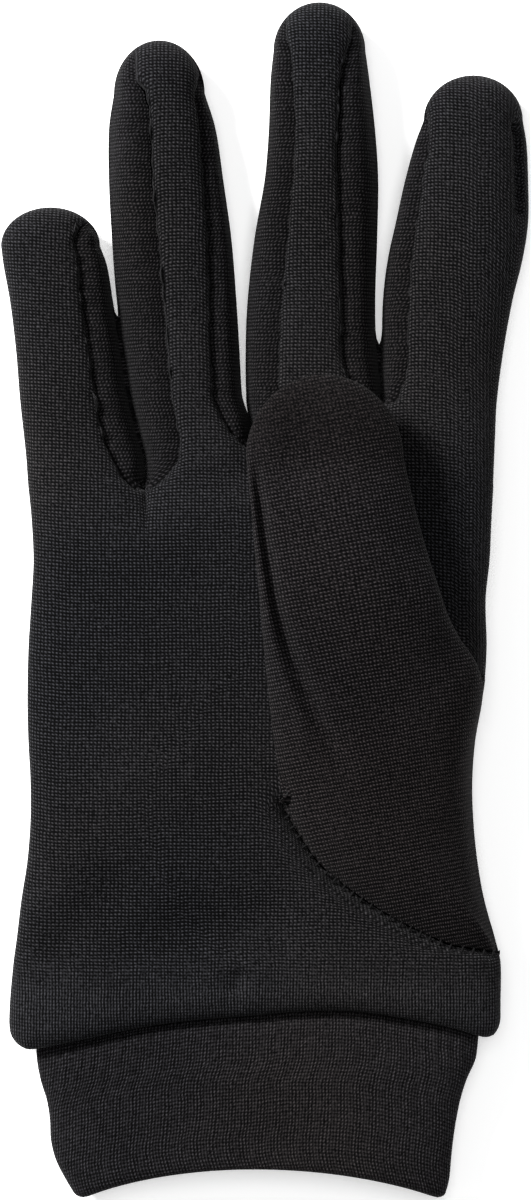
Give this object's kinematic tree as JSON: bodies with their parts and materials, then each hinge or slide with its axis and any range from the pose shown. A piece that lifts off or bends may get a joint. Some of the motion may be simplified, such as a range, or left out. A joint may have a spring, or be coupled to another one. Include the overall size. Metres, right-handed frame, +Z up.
{
  "type": "glove liner",
  "caption": "Right-hand knitted glove liner lying palm up, hollow, with side strips between the fingers, the thumb folded over the palm and a narrower doubled cuff under a rolled hem.",
  "frame": {"origin": "middle of the underside of the whole liner's box, on the surface that it lies on", "axes": "+Y along the hand towards the fingertips, +X towards the index finger, +Z up out of the palm"},
  "size_m": [0.1084, 0.2456, 0.0309],
  "materials": {
    "body_knit": "matte charcoal stretch knit",
    "fourchette_knit": "matte charcoal stretch knit, run lengthwise",
    "thumb_knit": "matte charcoal stretch knit, slightly coarser",
    "cuff_knit": "matte charcoal doubled rib knit"
  },
  "bodies": {
    "root": {"palm_panel": "body_knit", "back_panel": "body_knit", "fourchette_little_ring": "fourchette_knit", "fourchette_ring_middle": "fourchette_knit", "fourchette_middle_index": "fourchette_knit", "thumb": "thumb_knit", "cuff": "cuff_knit"}
  },
  "joints": []
}
